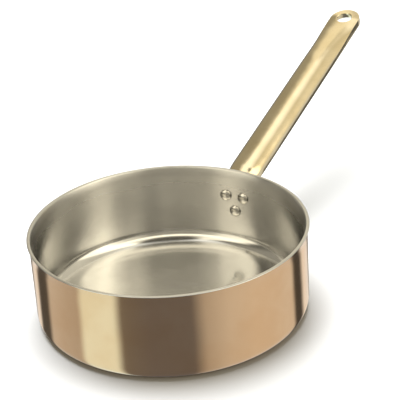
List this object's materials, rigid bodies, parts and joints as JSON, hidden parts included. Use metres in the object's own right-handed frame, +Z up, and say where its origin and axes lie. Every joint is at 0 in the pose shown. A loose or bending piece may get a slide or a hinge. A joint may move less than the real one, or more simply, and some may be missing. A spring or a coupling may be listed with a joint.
{
  "type": "copper saucepan",
  "caption": "Straight-sided copper saucepan with a flared lip, a tinned inside and a long riveted brass stick handle with a hanging hole.",
  "frame": {"origin": "centre of the underside of the base, on the pan's own axis", "axes": "+Z up along the pan's axis, +X along the handle seen from above"},
  "size_m": [0.415, 0.2, 0.129],
  "materials": {
    "copper": "polished",
    "tin": "satin",
    "brass": "polished",
    "rivet": "polished"
  },
  "bodies": {
    "root": {"copper_body": "copper", "tin_lining": "tin", "handle": "brass", "rivet_left": "rivet", "rivet_right": "rivet", "rivet_bottom": "rivet"}
  },
  "joints": []
}
